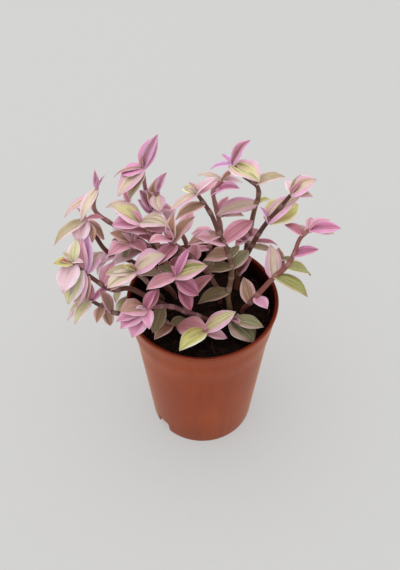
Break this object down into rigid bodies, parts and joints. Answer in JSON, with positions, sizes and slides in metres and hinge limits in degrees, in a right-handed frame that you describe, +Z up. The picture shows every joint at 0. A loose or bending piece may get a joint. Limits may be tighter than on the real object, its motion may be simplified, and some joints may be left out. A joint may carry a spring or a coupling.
{
  "type": "potted tradescantia",
  "caption": "Trailing pink and cream variegated tradescantia with slender leafy stems, rooted in dark peat in a tapered round terracotta-coloured plastic nursery pot.",
  "frame": {"origin": "middle of the pot's underside, on the surface that the pot stands on", "axes": "+Z up along the pot's axis, +X to the right and +Y to the back as the plant faces its viewer"},
  "size_m": [0.1055, 0.0747, 0.1305],
  "materials": {
    "pot": "satin",
    "soil": "rough damp peat",
    "foliage": "soft satin leaf"
  },
  "bodies": {
    "root": {"pot": "pot", "soil": "soil", "stem_back_arched": "foliage", "stem_back_centre": "foliage", "stem_centre": "foliage", "stem_cream": "foliage", "stem_front": "foliage", "stem_front_low": "foliage", "stem_front_right": "foliage", "stem_left_front": "foliage", "stem_left_low": "foliage", "stem_left_runner": "foliage", "stem_left_star": "foliage", "stem_left_tall": "foliage", "stem_middle": "foliage", "stem_rear": "foliage", "stem_rear_left": "foliage", "stem_right_back": "foliage", "stem_right_runner": "foliage", "stem_rosy": "foliage", "stem_striped": "foliage", "stem_tall": "foliage", "stem_upper_left": "foliage", "stem_upper_middle": "foliage"}
  },
  "joints": []
}
